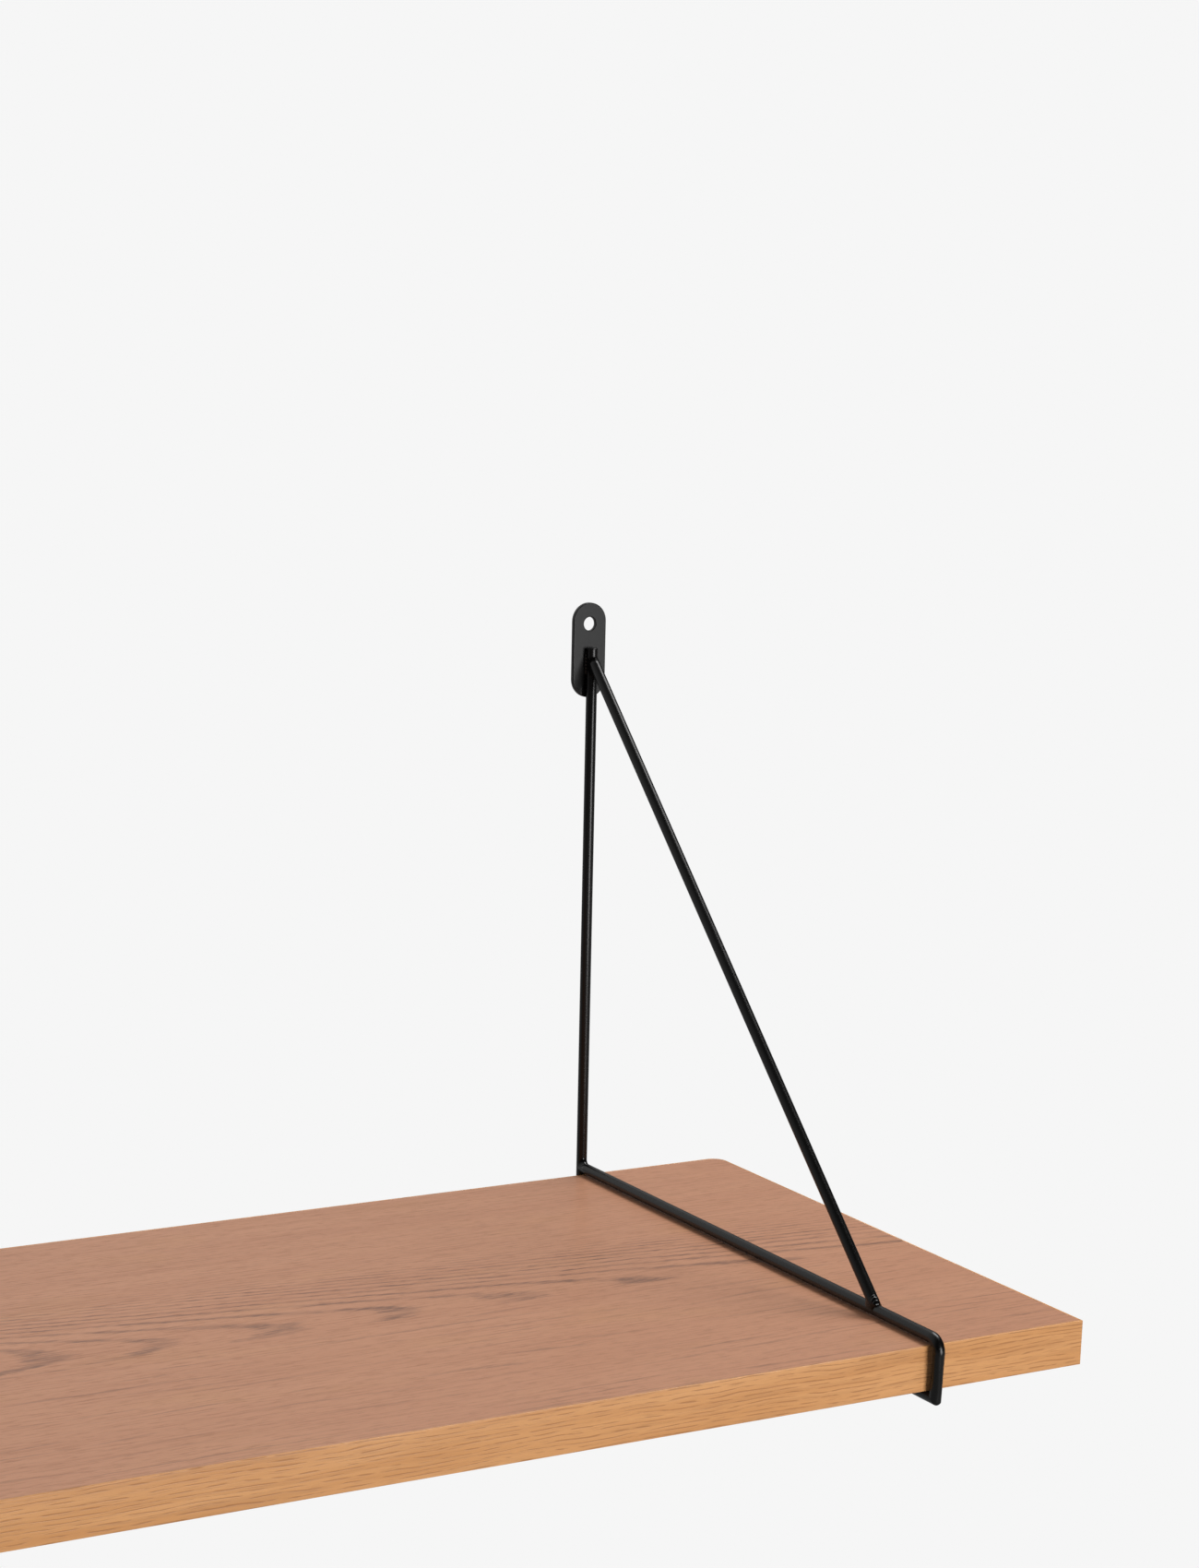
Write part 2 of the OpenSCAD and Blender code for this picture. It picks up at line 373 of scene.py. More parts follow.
# The mitre under the board: the drop comes down into it and the bottom wire leaves it.
# Pairs and flat vectors here are (y, z).
DROP_DIR = (math.sin(DROP_LEAN), -math.cos(DROP_LEAN))
DROP_START = (
    BEND_Y - BEND_R * math.cos(DROP_LEAN),
    BEND_Z - BEND_R * math.sin(DROP_LEAN),
)
MITRE = (
    DROP_START[0] + (DROP_START[1] - UNDER_Z) * math.tan(DROP_LEAN),
    UNDER_Z,
)
MITRE_HALF = (math.pi / 2 + DROP_LEAN) / 2
INWARD = Vector((1 - DROP_DIR[0], -DROP_DIR[1])).normalized()


def ground(points):
    """Rounds the outer corner of the mitre, as if ground after welding."""
    radius, shift = 2.2, 0.25
    middle = Vector(MITRE) - INWARD * shift
    result = []
    for x, y, z in points:
        arm = Vector((x, y - middle.x, z - middle.y))
        flat = Vector((arm.y, arm.z))
        outward = flat.length > 0 and -flat.normalized().dot(INWARD) > math.sin(MITRE_HALF)
        if arm.length > radius and outward:
            arm = arm.normalized() * radius
        result.append((arm.x, middle.x + arm.y, middle.y + arm.z))
    return result


def mitre_rings(dy, dz, distances):
    """Rings of a wire that leaves the mitre along (dy, dz), parallel to the mitre."""
    rings = []
    for back in distances:
        ring = []
        for a in spin():
            side = WIRE_R * math.sin(a)
            y, z = -dz * side, dy * side
            # slide along the wire until the point lies on the mitre plane
            slide = (z * INWARD.x - y * INWARD.y) / (dy * INWARD.y - dz * INWARD.x)
            ring.append(
                (
                    WIRE_R * math.cos(a),
                    MITRE[0] + y + dy * (slide + back),
                    MITRE[1] + z + dz * (slide + back),
                )
            )
        rings.append(ground(ring))
    return rings


# where those rings are, close together where ground() rounds them
NEAR_MITRE = [0, 0.12, 0.25, 0.4, 0.6, 0.85, 1.2, 1.7, 2.4, 3.4, 5]


def top_wire():
    """Rail on the board, front bend and drop, in one bent wire."""
    rings = [coped(UPRIGHT_Y, RAIL_Z, -1, 0)]
    rings += straight_rings(STRAIGHT_END_Y, BEND_Y, RAIL_Z, -1)
    turn = math.pi / 2 + DROP_LEAN
    spans = 28
    for i in range(1, spans + 1):
        a = turn * i / spans
        rings.append(
            wire_ring(
                BEND_Y - BEND_R * math.sin(a),
                BEND_Z + BEND_R * math.cos(a),
                -math.cos(a),
                -math.sin(a),
            )
        )
    drop = mitre_rings(-DROP_DIR[0], -DROP_DIR[1], NEAR_MITRE)
    for ring in reversed(drop):
        rings.append(in_step(ring, rings[-1]))
    return lofted(rings)


def in_step(ring, last):
    """The same ring, started and turned so that its points follow the last ring's."""
    quarter = len(ring) // 4

    def gap(order):
        return sum((Vector(order[k]) - Vector(last[k])).length for k in (0, quarter))

    senses = (ring, ring[::-1])
    return min((s[i:] + s[:i] for s in senses for i in range(len(ring))), key=gap)


def under_wire():
    """Bottom rail: from the mitre back to the upright, under the board."""
    clear_of_mitre = MITRE[0] + 9
    rings = mitre_rings(1, 0, NEAR_MITRE)
    rings += straight_rings(clear_of_mitre, STRAIGHT_END_Y, UNDER_Z, 1)
    rings.append(coped(UPRIGHT_Y, UNDER_Z, 1, 0))
    return lofted(rings)


def brace_wire():
    """Slanting wire, its ends coped to the rail and to the upright."""
    sin_b, cos_b = math.sin(BRACE_ANGLE), math.cos(BRACE_ANGLE)
    stations = [0, 0.01, 0.03, 0.1, 0.3, 0.5, 0.7, 0.9, 0.97, 0.99, 1]
    rings = []
    for f in stations:
        ring = []
        for a in spin():
            n = WIRE_R * math.sin(a)
            seat = WIRE_R * abs(math.sin(a)) - COPE_SINK
            foot = (seat - n * sin_b) / cos_b
            head = (UPRIGHT_Y - seat - FOOT_Y + n * cos_b) / sin_b
            s = foot + (head - foot) * f
            ring.append(
                (
                    WIRE_R * math.cos(a),
                    FOOT_Y - n * cos_b + s * sin_b,
                    RAIL_Z + n * sin_b + s * cos_b,
                )
            )
        rings.append(ring)
    return lofted(rings)


# ---------------------------------------------------------------- welds

# half the length of the beads on the plates and tabs
BEAD_HALF = 4.4


def ripple(start, end, across, out, wide, high, count, depth=0.22):
    """A weld bead from start to end, stacked in ripples like coins.

    wide and high are its half axes along across and out, count is its number of
    ripples, and depth how far each ripple narrows, as a share.
    """
    start, end = Vector(start), Vector(end)
    across, out = Vector(across).normalized(), Vector(out).normalized()
    along = end - start
    bow = 0.5 * along.length / count
    total = 9 * count
    rings = []
    for i in range(total + 1):
        t = i / total
        ends = math.sqrt(max(1 - abs(2 * t - 1) ** 3.2, 0.02))
        phase = (t * count) % 1.0
        scale = ends * (1 - depth * (2 * phase - 1) ** 2)
        ring = []
        for a in spin(28):
            offset = across * wide * scale * math.cos(a) + out * high * scale * math.sin(a)
            # each coin bows towards the start, like a cooled weld pool
            lag = along.normalized() * bow * (1 - math.cos(a) ** 2) * ends
            ring.append(start + along * t + offset - lag)
        rings.append(ring)
    return lofted(rings)


def rail_fillet(z, up):
    """Concave weld between the upright and a rail at z, above (1) or below (-1) it."""
    leg, within = 2.1, 0.965
    spans = 20
    rings = []
    for i in range(spans + 1):
        f = 2 * i / spans - 1
        x = within * WIRE_R * math.sin(f * math.pi / 2)
        seat = math.sqrt(WIRE_R**2 - x * x)
        wobble = 1 + 0.07 * math.sin(9 * f + z) + 0.04 * math.sin(23 * f)
        reach = leg * wobble * (1 - 0.25 * f * f)
        y0, z0 = UPRIGHT_Y - seat, seat
        # the first two points and the last lie inside the wires
        ring = [(x, y0 + 0.5, z + up * (z0 - 0.5))]
        ring.append((x, y0 - reach - 0.2, z + up * (z0 - 0.25)))
        for t in quarter_turn(9):
            ring.append(
                (
                    x,
                    y0 - reach * (1 - math.sin(t)),
                    z + up * (z0 + reach * (1 - math.cos(t))),
                )
            )
        ring.append((x, y0 + 0.25, z + up * (z0 + reach + 0.2)))
        rings.append(ring)
    return lofted(rings)


def corner_fill(reach, slope, place):
    """Weld that fills the sharp corner between the brace and the wire it stands on.

    u runs along that wire, w away from it, and the brace's axis is w = slope * u. In
    plan the weld is a rounded rectangle from back to reach.
    """
    half = 2.0
    back = -1.0
    middle, long = (reach + back) / 2, (reach - back) / 2
    levels = 9

    def squared(value):
        return math.copysign(abs(value) ** (2 / 2.8), value)

    outline = [
        (half * squared(math.sin(a)), middle + long * squared(math.cos(a))) for a in spin(48)
    ]
    rings = []
    for i in range(levels + 1):
        f = i / levels
        ring = []
        for x, u in outline:
            # a little past the brace's axis, so that no slit shows beside it
            top = max(slope * u, 0.6) + 0.45
            w = top * f
            # slightly uneven, and spreading towards its foot
            bulge = 1 + 0.02 * math.sin(3.1 * w + 1.3 * x) + 0.10 * (1 - f) ** 2
            ring.append(place(x * min(bulge, 1.03), back + (u - back) * bulge, w))
        rings.append(ring)
    return lofted(rings)


def foot_place(x, u, w):
    """corner_fill()'s place on the rail."""
    return (x, FOOT_Y + u, RAIL_Z + w)


def apex_place(x, u, w):
    """corner_fill()'s place on the upright."""
    return (x, UPRIGHT_Y - w, APEX_Z - u)


def toe_bead():
    """Small glossy ripples down the front of the brace's foot."""
    sin_b, cos_b = math.sin(BRACE_ANGLE), math.cos(BRACE_ANGLE)
    front = Vector((0, -cos_b, sin_b))
    axis = Vector((0, sin_b, cos_b))
    turn = math.radians(-14)
    out = front * math.cos(turn) + Vector((1, 0, 0)) * math.sin(turn)
    origin = Vector((0, FOOT_Y, RAIL_Z))
    start = origin + axis * 5.2 + out * (WIRE_R - 0.55)
    end = origin + axis * 1.0 + out * (WIRE_R - 0.10)
    across = axis.cross(out)
    return ripple(start, end, across, out, wide=1.6, high=0.75, count=3, depth=0.2)


def plate_bead(end, side):
    """Bead beside the upright on a wall plate: end is 1 at the top, -1 below."""
    middle = end * (UPRIGHT_END - 5.6)
    x, y = side * 1.75, -PLATE_T - 0.6
    start, stop = (x, y, middle - BEAD_HALF), (x, y, middle + BEAD_HALF)
    across, out = (side, 0.35, 0), (side * 0.35, -1, 0)
    return ripple(start, stop, across, out, wide=0.9, high=0.85, count=7)


def tab_bead(y):
    """Bead between the bottom rail and a shelf tab."""
    x, z = -2.2, tab_low.z - 0.15
    start, stop = (x, y - BEAD_HALF, z), (x, y + BEAD_HALF, z)
    return ripple(start, stop, (-1, 0, 0), (-0.5, 0, -1), wide=1.15, high=0.95, count=7)


def welds():
    """All the weld metal of one bracket."""
    slope = math.tan(BRACE_ANGLE)
    beads = [
        rail_fillet(RAIL_Z, 1),
        rail_fillet(UNDER_Z, -1),
        corner_fill(FOOT_REACH, 1 / slope, foot_place),
        corner_fill(APEX_REACH, slope, apex_place),
        toe_bead(),
    ]
    beads += [plate_bead(end, side) for end in (-1, 1) for side in (-1, 1)]
    beads += [tab_bead(y) for y in (SCREW_FRONT_Y, SCREW_REAR_Y)]
    shape = Shape()
    for bead in beads:
        shape.add(bead)
    return shape


# ---------------------------------------------------------------- plates and tabs


def wall_plate(end):
    """Round-ended plate with the wall screw's hole; end is 1 at the top, -1 below."""
    half = PLATE_W / 2
    near, far = plate_low.z + half, plate_high.z - half

    def outline(inset):
        tip = [(a, far + b) for a, b in arc(half - inset, 0, 180, 24)]
        return tip + [(a, near + b) for a, b in arc(half - inset, 180, 360, 24)]

    return slab(
        outline,
        [round_hole(0, HOLE_Z, WALL_HOLE_R)],
        eased_profile(PLATE_T, 0.35),
        lambda u, v, h: (u, -h, end * v),
    )


def shelf_tab(y):
    """Tab under the board with one round end and the shelf screw's hole."""
    half = PLATE_W / 2

    def outline(inset):
        tip = [(-SCREW_INSET + a, b) for a, b in arc(half - inset, 90, 270, 24)]
        root = -TAB_START - inset
        return tip + [(root, -half + inset), (root, half - inset)]

    return slab(
        outline,
        [round_hole(-SCREW_INSET, 0, TAB_HOLE_R)],
        eased_profile(PLATE_T, 0.3),
        lambda u, v, h: (u, y + v, tab_low.z + h),
    )


# ---------------------------------------------------------------- screws


def recess(x, y):
    """Depth of the cross recess in a screw's head, with sloping walls."""
    arm_half, arm_length, slope = 0.42, 1.85, 0.16

    def wall(distance):
        return min(max(distance / slope, 0), 1)

    def arm(u, v):
        depth = 1.25 - 0.35 * abs(u)
        return wall(arm_half - abs(v)) * wall(arm_length - abs(u)) * depth

    return max(arm(x, y), arm(y, x))


def screw(y):
    """Pan-head screw: its head is under the tab, its thread in the board."""
    z0 = tab_low.z
    around = spin(72)
    rings = []
    for t in quarter_turn(26)[1:]:
        r = SCREW_HEAD_R * math.sin(t)
        drop = SCREW_HEAD_H * (1 - (r / SCREW_HEAD_R) ** 3.2) ** (1 / 2.1)
        ring = []
        for a in around:
            px, py = r * math.cos(a), r * math.sin(a)
            ring.append((-SCREW_INSET + px, y + py, z0 - max(drop - recess(px, py), 0)))
        rings.append(ring)
    rows = 85
    for i in range(rows + 1):
        h = SCREW_L * i / rows
        taper = min((SCREW_L - h) / SCREW_TIP, 1)
        full = SCREW_TIP_R + (SCREW_R - SCREW_TIP_R) * taper
        ring = []
        for a in around:
            phase = (h / SCREW_PITCH - a / (2 * math.pi)) % 1.0
            crest = max(1 - abs(2 * phase - 1) * 2.2, 0)
            r = full * (0.7 + 0.29 * crest)
            ring.append((-SCREW_INSET + r * math.cos(a), y + r * math.sin(a), z0 + h))
        rings.append(ring)
    return lofted(rings)


# ---------------------------------------------------------------- materials


class Look:
    """A material with short ways to add nodes. Positions are in millimetres."""

    def __init__(self, name, **constants):
        self.material = bpy.data.materials.new(name)
        self.material.use_nodes = True
        self.tree = self.material.node_tree
        self.shader = self.tree.nodes["Principled BSDF"]
        for socket, value in constants.items():
            self.shader.inputs[socket.replace("_", " ")].default_value = value
        place = self.node("ShaderNodeTexCoord").outputs["Object"]
        scale = self.node("ShaderNodeVectorMath", operation="SCALE")
        scale.inputs["Scale"].default_value = 1 / MM
        self.link(place, scale.inputs[0])
        self.place = scale.outputs[0]
        split = self.node("ShaderNodeSeparateXYZ")
        self.link(self.place, split.inputs[0])
        self.x, self.y, self.z = split.outputs

    def node(self, kind, **settings):
        made = self.tree.nodes.new(kind)
        for key, value in settings.items():
            setattr(made, key, value)
        return made

    def link(self, value, socket):
        if isinstance(value, bpy.types.NodeSocket):
            self.tree.links.new(value, socket)
        else:
            socket.default_value = value

    def math(self, operation, *values):
        made = self.node("ShaderNodeMath", operation=operation)
        for value, socket in zip(values, made.inputs):
            self.link(value, socket)
        return made.outputs[0]

    def square(self, value):
        return self.math("MULTIPLY", value, value)

    def from_middle(self, value):
        """Distance from the middle of a repeat: 0 there, 0.5 at its ends."""
        return self.math("ABSOLUTE", self.linear(self.math("FRACT", value), 1.0, -0.5))

    def linear(self, value, scale, offset=0.0):
        return self.math("MULTIPLY_ADD", value, scale, offset)

    def point(self, x, y, z=0.0):
        made = self.node("ShaderNodeCombineXYZ")
        for value, socket in zip((x, y, z), made.inputs):
            self.link(value, socket)
        return made.outputs[0]

    def noise(self, where, scale=1.0, detail=2.0, roughness=0.5):
        made = self.node("ShaderNodeTexNoise")
        self.link(where, made.inputs["Vector"])
        made.inputs["Scale"].default_value = scale
        made.inputs["Detail"].default_value = detail
        made.inputs["Roughness"].default_value = roughness
        return made.outputs["Fac"]

    def streaks(self, along, across, long, thin, seed=0.0, detail=2.0):
        """Noise drawn out along one direction: long and thin are its sizes."""
        where = self.point(
            self.linear(along, 1 / long), self.linear(across, 1 / thin), seed
        )
        return self.noise(where, 1.0, detail)

    def step(self, value, low, high, to_low=0.0, to_high=1.0):
        """Smooth step from to_low to to_high as value goes from low to high."""
        made = self.node("ShaderNodeMapRange", interpolation_type="SMOOTHSTEP")
        numbers = (value, low, high, to_low, to_high)
        for number, socket in zip(numbers, made.inputs):
            self.link(number, socket)
        return made.outputs[0]

    def mix(self, amount, a, b):
        made = self.node("ShaderNodeMix", data_type="RGBA")
        self.link(amount, made.inputs[0])
        for value, socket in ((a, made.inputs[6]), (b, made.inputs[7])):
            self.link(value if isinstance(value, bpy.types.NodeSocket) else (*value, 1), socket)
        return made.outputs[2]

    def finish(self, colour=None, roughness=None, height=None, depth=0.05):
        """Connects the results; depth is the bump's height in millimetres."""
        if colour is not None:
            self.link(colour, self.shader.inputs["Base Color"])
        if roughness is not None:
            self.link(roughness, self.shader.inputs["Roughness"])
        if height is not None:
            bump = self.node("ShaderNodeBump")
            bump.inputs["Strength"].default_value = 1.0
            bump.inputs["Distance"].default_value = depth * MM
            self.link(height, bump.inputs["Height"])
            self.link(bump.outputs[0], self.shader.inputs["Normal"])
        return self.material


def oak_decor():
    """Printed oak: one plank with nested rings, and a straight-grained one in front."""
    look = Look("oak_decor", Specular_IOR_Level=0.25)
    depth = look.linear(look.y, -1.0, REAR)
    x = look.math("ADD", look.x, look.linear(look.z, 2.0, -2.0 * TOP))
    seam = 137.0  # from the rear edge to the joint between the two planks
    front_plank = look.math("GREATER_THAN", depth, seam)

    # rings about a pith that lies under the board and slants across it
    run = look.linear(x, 1.0, -200.0)
    off = look.math("SUBTRACT", look.linear(depth, 1.0, -132.0), look.linear(run, 0.062))
    droop = look.linear(look.square(run), -2.45e-5)
    below = look.math("ADD", look.linear(run, 0.0215, 123.7), droop)
    radius = look.math("SQRT", look.math("ADD", look.square(off), look.square(below)))
    wander = look.linear(look.streaks(x, depth, 70, 16, 3.0), 0.9, -0.45)
    ragged = look.linear(look.streaks(x, depth, 9, 1.1, 5.0, 3.0), 0.5, -0.25)
    phase = look.math("ADD", look.math("ADD", radius, wander), look.linear(ragged, 1.0, 0.993))
    rings = look.step(look.from_middle(phase), 0.05, 0.25, 1.0, 0.0)
    broken = look.step(look.streaks(x, depth, 34, 5, 9.0), 0.36, 0.62, 0.35, 1.0)
    far_off = look.step(look.math("ABSOLUTE", off), 38.0, 56.0, 1.0, 0.3)
    rings = look.math("MULTIPLY", look.math("MULTIPLY", rings, broken), far_off)
    grit = look.step(look.streaks(x, depth, 6, 0.9, 41.0, 3.0), 0.34, 0.60, 0.35, 1.0)
    rings = look.math("MULTIPLY", rings, grit)

    # the front plank's straight rings
    sway = look.linear(look.streaks(x, depth, 130, 26, 13.0), 2.2, -1.1)
    straight = look.math("ADD", look.linear(depth, 1 / 6.2), look.math("ADD", sway, ragged))
    lines = look.step(look.from_middle(straight), 0.02, 0.13, 1.0, 0.0)
    patches = look.step(look.streaks(x, depth, 60, 12, 17.0), 0.46, 0.68, 0.05, 0.50)
    lines = look.math("MULTIPLY", lines, patches)

    figure = look.node("ShaderNodeMix", data_type="FLOAT")
    look.link(front_plank, figure.inputs[0])
    look.link(rings, figure.inputs[2])
    look.link(lines, figure.inputs[3])
    figure = figure.outputs[0]

    fine = look.step(look.streaks(x, depth, 5, 0.6, 21.0, 3.0), 0.54, 0.66)
    coarse = look.step(look.streaks(x, depth, 10, 1.1, 25.0, 3.0), 0.53, 0.63)
    long_grain = look.step(look.streaks(x, depth, 55, 1.3, 47.0, 2.0), 0.53, 0.62)
    pores = look.math("ADD", look.linear(fine, 0.40), look.linear(coarse, 0.50))
    pores = look.math("ADD", pores, look.linear(long_grain, 0.32))
    tone = look.step(look.streaks(x, depth, 150, 13, 29.0), 0.3, 0.7)
    gold = look.step(look.streaks(x, depth, 60, 22, 33.0), 0.52, 0.75)

    base = look.mix(tone, (0.580, 0.277, 0.161), (0.610, 0.298, 0.174))
    base = look.mix(look.linear(gold, 0.2), base, (0.600, 0.310, 0.140))
    base = look.mix(look.linear(pores, 0.52), base, (0.305, 0.130, 0.065))
    base = look.mix(figure, base, (0.250, 0.125, 0.080))
    roughness = look.linear(pores, 0.10, 0.33)
    height = look.linear(look.math("ADD", pores, look.linear(figure, 0.4)), -1.0)
    return look.finish(base, roughness, height, 0.035)


def oak_edge():
    """Printed oak edge strip: long wavy dashes on a golden ground."""
    look = Look("oak_edge", Specular_IOR_Level=0.3)
    along = look.math("SUBTRACT", look.x, look.y)
    wave = look.linear(look.streaks(along, look.z, 38, 7, 2.0), 3.4, -1.7)
    level = look.math("ADD", look.z, wave)
    thin = look.step(look.from_middle(look.linear(level, 1 / 1.5)), 0.05, 0.20, 1.0, 0.0)
    breaks = look.step(look.streaks(along, level, 8, 1.0, 4.0, 2.5), 0.40, 0.56)
    dashes = look.math("MULTIPLY", thin, breaks)
    long_lines = look.step(look.streaks(along, level, 60, 1.8, 6.0), 0.50, 0.66)
    fine = look.step(look.streaks(along, level, 9, 0.5, 8.0, 3.0), 0.52, 0.70)
    tone = look.step(look.streaks(along, level, 90, 4.5, 10.0), 0.3, 0.7)
    base = look.mix(tone, (0.645, 0.303, 0.112), (0.728, 0.364, 0.146))
    base = look.mix(look.linear(long_lines, 0.20), base, (0.420, 0.200, 0.085))
    base = look.mix(look.linear(dashes, 0.62), base, (0.345, 0.138, 0.046))
    base = look.mix(look.linear(fine, 0.24), base, (0.330, 0.140, 0.055))
    marks = look.math("ADD", dashes, look.linear(fine, 0.5))
    return look.finish(base, look.linear(marks, 0.07, 0.36), look.linear(marks, -1.0), 0.03)


def particleboard():
    """Pressed chips, seen only where the board is cut."""
    look = Look("particleboard", Roughness=0.85)
    chips = look.node("ShaderNodeTexVoronoi")
    chips.inputs["Scale"].default_value = 0.7
    where = look.point(look.linear(look.x, 0.6), look.y, look.linear(look.z, 1.8))
    look.link(where, chips.inputs["Vector"])
    dust = look.noise(look.place, 2.2, 4.0)
    base = look.mix(chips.outputs["Color"], (0.50, 0.36, 0.21), (0.66, 0.50, 0.31))
    base = look.mix(look.step(dust, 0.55, 0.75), base, (0.26, 0.16, 0.08))
    return look.finish(base, look.linear(dust, 0.2, 0.72), dust, 0.15)


def powder_coat(name, gloss, peel=0.003, base=0.0016):
    """Satin black powder coat with a fine orange peel.

    gloss is the mean roughness, peel the bump in millimetres, base the grey level.
    """
    look = Look(name, Specular_IOR_Level=0.32)
    skin_noise = look.noise(look.place, 0.9, 2.0, 0.6)
    patch = look.noise(look.place, 0.06, 2.0)
    dark = (base * 0.9, base * 0.88, base * 0.86)
    pale = (base * 1.3, base * 1.25, base * 1.2)
    colour = look.mix(patch, dark, pale)
    spread = 0.09
    roughness = look.linear(look.math("ADD", skin_noise, patch), spread, gloss - spread)
    return look.finish(colour, roughness, skin_noise, peel)


def zinc():
    """Bright zinc plating with a faint blue and yellow cast."""
    look = Look("screw_zinc", Metallic=1.0)
    cast = look.noise(look.place, 0.5, 3.0)
    grain = look.noise(look.place, 6.0, 3.0)
    colour = look.mix(cast, (0.56, 0.58, 0.60), (0.66, 0.64, 0.57))
    return look.finish(colour, look.linear(grain, 0.16, 0.24), grain, 0.01)


# ---------------------------------------------------------------- the object

oak = oak_decor()
edge = oak_edge()
coat = powder_coat("wire_coat", 0.28)
plate_coat = powder_coat("plate_coat", 0.36, 0.008)
weld_coat = powder_coat("weld_coat", 0.14, 0.004)
screw_finish = zinc()

top_skin = skin(SKIN_TOP_Z, TOP, True)
bottom_skin = skin(BOTTOM, SKIN_BOTTOM_Z, False)
build("board_top_decor", top_skin, oak, ["top_laminate"])
build("board_bottom_decor", bottom_skin, oak, ["bottom_laminate"])
build("board_front_band", front_band(), edge, ["front_edge_band"])
build("board_wrap_band", wrap_band(), edge, ["wrap_edge_band"])
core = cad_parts["shelf_core"]
core.data.materials.clear()
core.data.materials.append(particleboard())

WIRES = [
    ("upright_wire", upright, "upright"),
    ("top_wire", top_wire, "top_rail"),
    ("under_wire", under_wire, "bottom_rail"),
    ("brace_wire", brace_wire, "brace"),
]
for hand, side in (("left", -1), ("right", 1)):
    for name, make, node in WIRES:
        build(f"{hand}_{name}", make(), coat, [f"{hand}_{node}"], side)
    nodes = [f"{hand}_weld_beads"]
    build(f"{hand}_welds", welds(), weld_coat, nodes, side)
    for height, end in (("upper", 1), ("lower", -1)):
        name, nodes = f"{hand}_{height}_plate", [f"{hand}_{height}_wall_plate"]
        build(name, wall_plate(end), plate_coat, nodes, side)
    for depth, y in (("front", SCREW_FRONT_Y), ("rear", SCREW_REAR_Y)):
        name, nodes = f"{hand}_{depth}_shelf_tab", [f"{hand}_{depth}_tab"]
        build(name, shelf_tab(y), plate_coat, nodes, side)
    pair = screw(SCREW_FRONT_Y)
    pair.add(screw(SCREW_REAR_Y))
    nodes = [f"{hand}_shelf_screws"]
    build(f"{hand}_screw_pair", pair, screw_finish, nodes, side)


# ---------------------------------------------------------------- studio

# The backdrop's level to the camera, and the light that reaches the object: from all
# around, from behind on the left, and from the floor.
BACKDROP = 0.9215
AROUND, BEHIND, FROM_FLOOR = 0.04, 0.62, 0.34


def studio_floor():
    """A plain pale floor far below the shelf, evenly lit."""
    reach, level = 60.0, -2.75
    corners = [(-reach, -reach), (reach, -reach), (reach, reach), (-reach, reach)]
    mesh = bpy.data.meshes.new("studio_floor")
    mesh.from_pydata([(x, y, level) for x, y in corners], [], [(0, 1, 2, 3)])
    floor = bpy.data.objects.new("studio_floor", mesh)
    bpy.context.scene.collection.objects.link(floor)
    material = bpy.data.materials.new("studio_floor")
    material.use_nodes = True
    tree = material.node_tree
    tree.nodes.clear()
    even_glow(tree, "ShaderNodeEmission", "ShaderNodeOutputMaterial", FROM_FLOOR)
    mesh.materials.append(material)


def even_glow(tree, kind, output, level):
    """Emits BACKDROP to the camera and level, a number or a socket, to the object."""
    path = tree.nodes.new("ShaderNodeLightPath")
    shaders = []
    for strength in (level, BACKDROP):
        made = tree.nodes.new(kind)
        made.inputs["Color"].default_value = (1, 1, 1, 1)
        if isinstance(strength, float):
            made.inputs["Strength"].default_value = strength
        else:
            tree.links.new(strength, made.inputs["Strength"])
        shaders.append(made)
    both = tree.nodes.new("ShaderNodeMixShader")
    tree.links.new(path.outputs["Is Camera Ray"], both.inputs[0])
    tree.links.new(shaders[0].outputs[0], both.inputs[1])
    tree.links.new(shaders[1].outputs[0], both.inputs[2])
    end = tree.nodes.new(output)
    tree.links.new(both.outputs[0], end.inputs["Surface"])


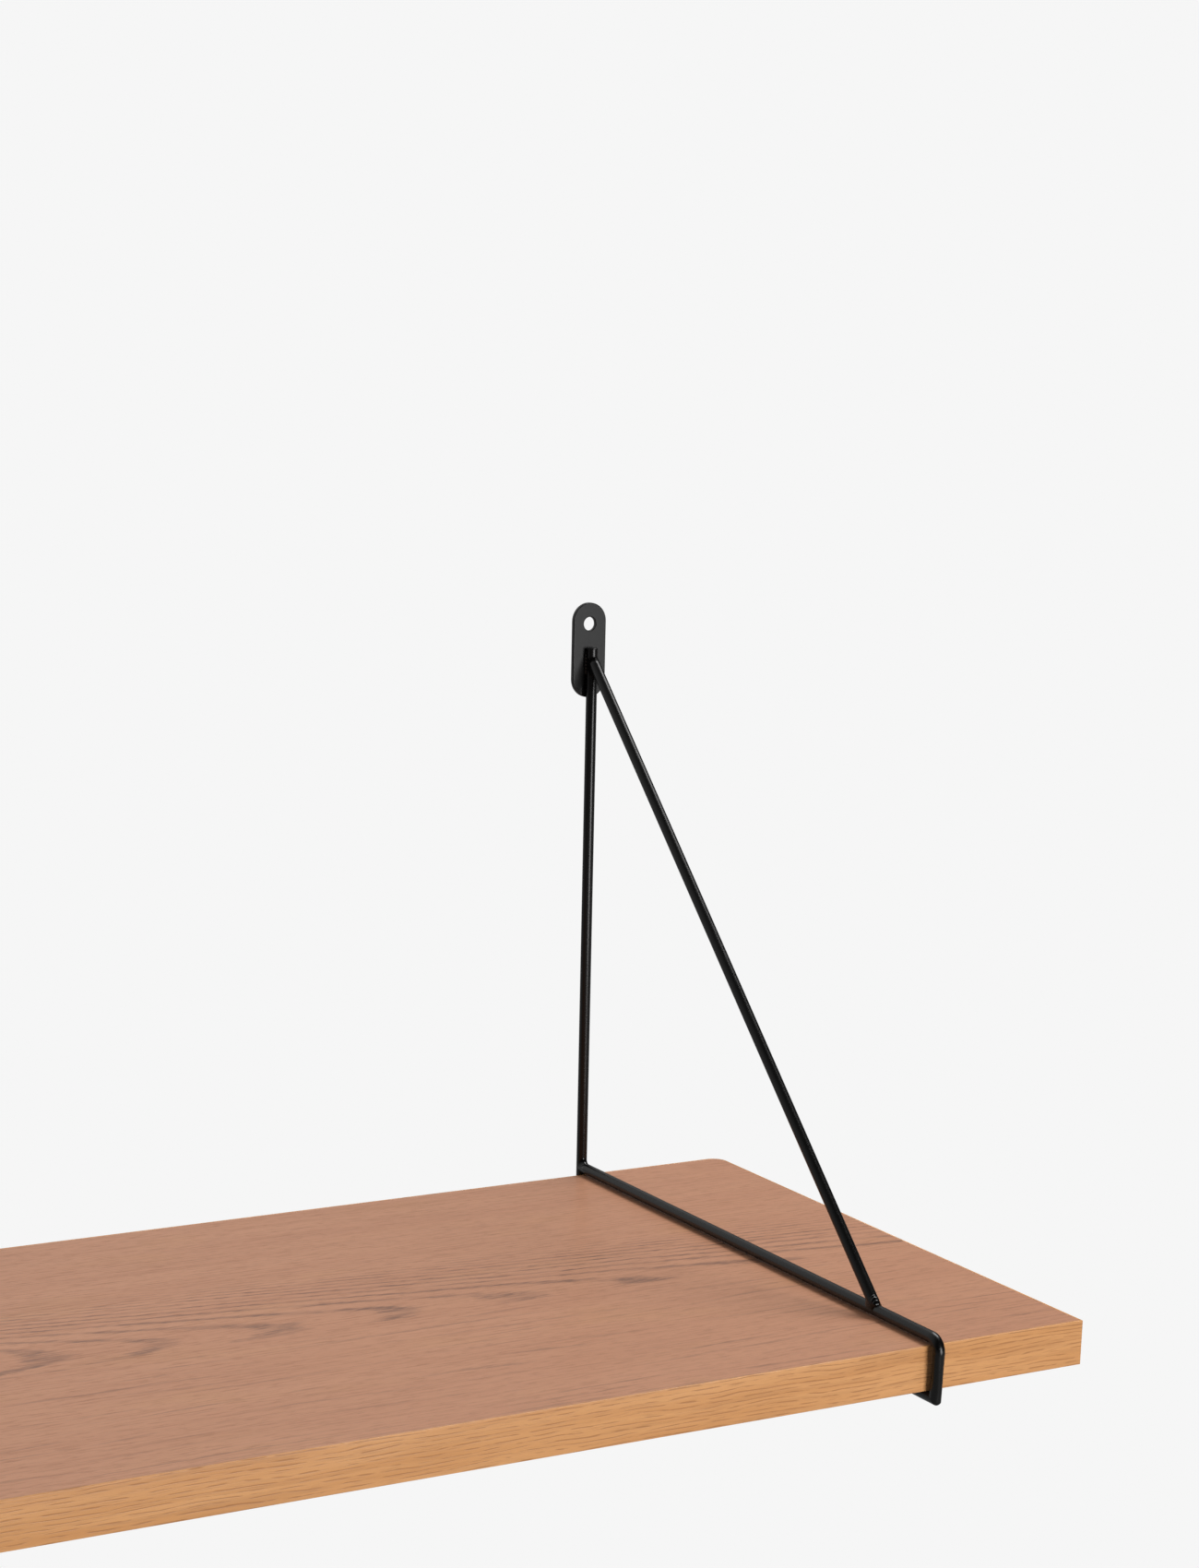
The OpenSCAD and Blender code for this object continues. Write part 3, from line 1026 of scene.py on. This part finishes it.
def surround(tree):
    """Light level by direction: brightest from behind, from the left and from above."""
    where = tree.nodes.new("ShaderNodeTexCoord").outputs["Generated"]
    side = tree.nodes.new("ShaderNodeVectorMath")
    side.operation = "DOT_PRODUCT"
    tree.links.new(where, side.inputs[0])
    side.inputs[1].default_value = (-0.4, 0.8, 0.6)
    level = tree.nodes.new("ShaderNodeMapRange")
    level.interpolation_type = "SMOOTHSTEP"
    tree.links.new(side.outputs["Value"], level.inputs[0])
    for value, socket in zip((0.35, 1.0, AROUND, AROUND + BEHIND), level.inputs[1:5]):
        socket.default_value = value
    return level.outputs[0]


def soft_light(name, place, target, width, height, power):
    """Rectangular light at place that faces target; metres and watts."""
    light = bpy.data.lights.new(name, "AREA")
    light.shape = "RECTANGLE"
    light.size, light.size_y = width, height
    light.energy = power
    lamp = bpy.data.objects.new(name, light)
    bpy.context.scene.collection.objects.link(lamp)
    lamp.location = place
    lamp.rotation_euler = (Vector(target) - Vector(place)).to_track_quat("-Z", "Y").to_euler()


def studio():
    """World light, floor and two soft lights."""
    scene = bpy.context.scene
    world = bpy.data.worlds.new("studio")
    world.use_nodes = True
    tree = world.node_tree
    tree.nodes.clear()
    even_glow(tree, "ShaderNodeBackground", "ShaderNodeOutputWorld", surround(tree))
    scene.world = world
    studio_floor()
    soft_light("overhead", (1.35, 0.45, 1.9), (0.25, -0.13, -0.05), 1.5, 1.0, 40)
    soft_light("front", (0.75, -2.2, 0.1), (0.25, -0.2, -0.05), 1.0, 1.0, 34)
    scene.view_settings.view_transform = "Standard"


def camera():
    """The photograph's view: heading, pitch and roll of the lens, and its shift."""
    heading, pitch, roll = (math.radians(a) for a in (29.75, 14.812, 1.283))
    focal_px, frame_px, shift_px = 3420.9, 1700, 400
    place = (-0.26047, -1.06367, 0.2430)
    flat = math.cos(pitch)
    ahead = Vector(
        (math.sin(heading) * flat, math.cos(heading) * flat, -math.sin(pitch))
    )
    level = Vector((math.cos(heading), -math.sin(heading), 0))
    up = level.cross(ahead)
    right = math.cos(roll) * level + math.sin(roll) * up
    above = -math.sin(roll) * level + math.cos(roll) * up
    data = bpy.data.cameras.new("camera")
    data.sensor_width = 36
    data.lens = focal_px * data.sensor_width / frame_px
    data.shift_y = shift_px / frame_px
    data.clip_end = 300
    view = bpy.data.objects.new("camera", data)
    bpy.context.scene.collection.objects.link(view)
    turn = Matrix((right, above, -ahead)).transposed()
    view.matrix_world = Matrix.Translation(place) @ turn.to_4x4()
    bpy.context.scene.camera = view


studio()
camera()
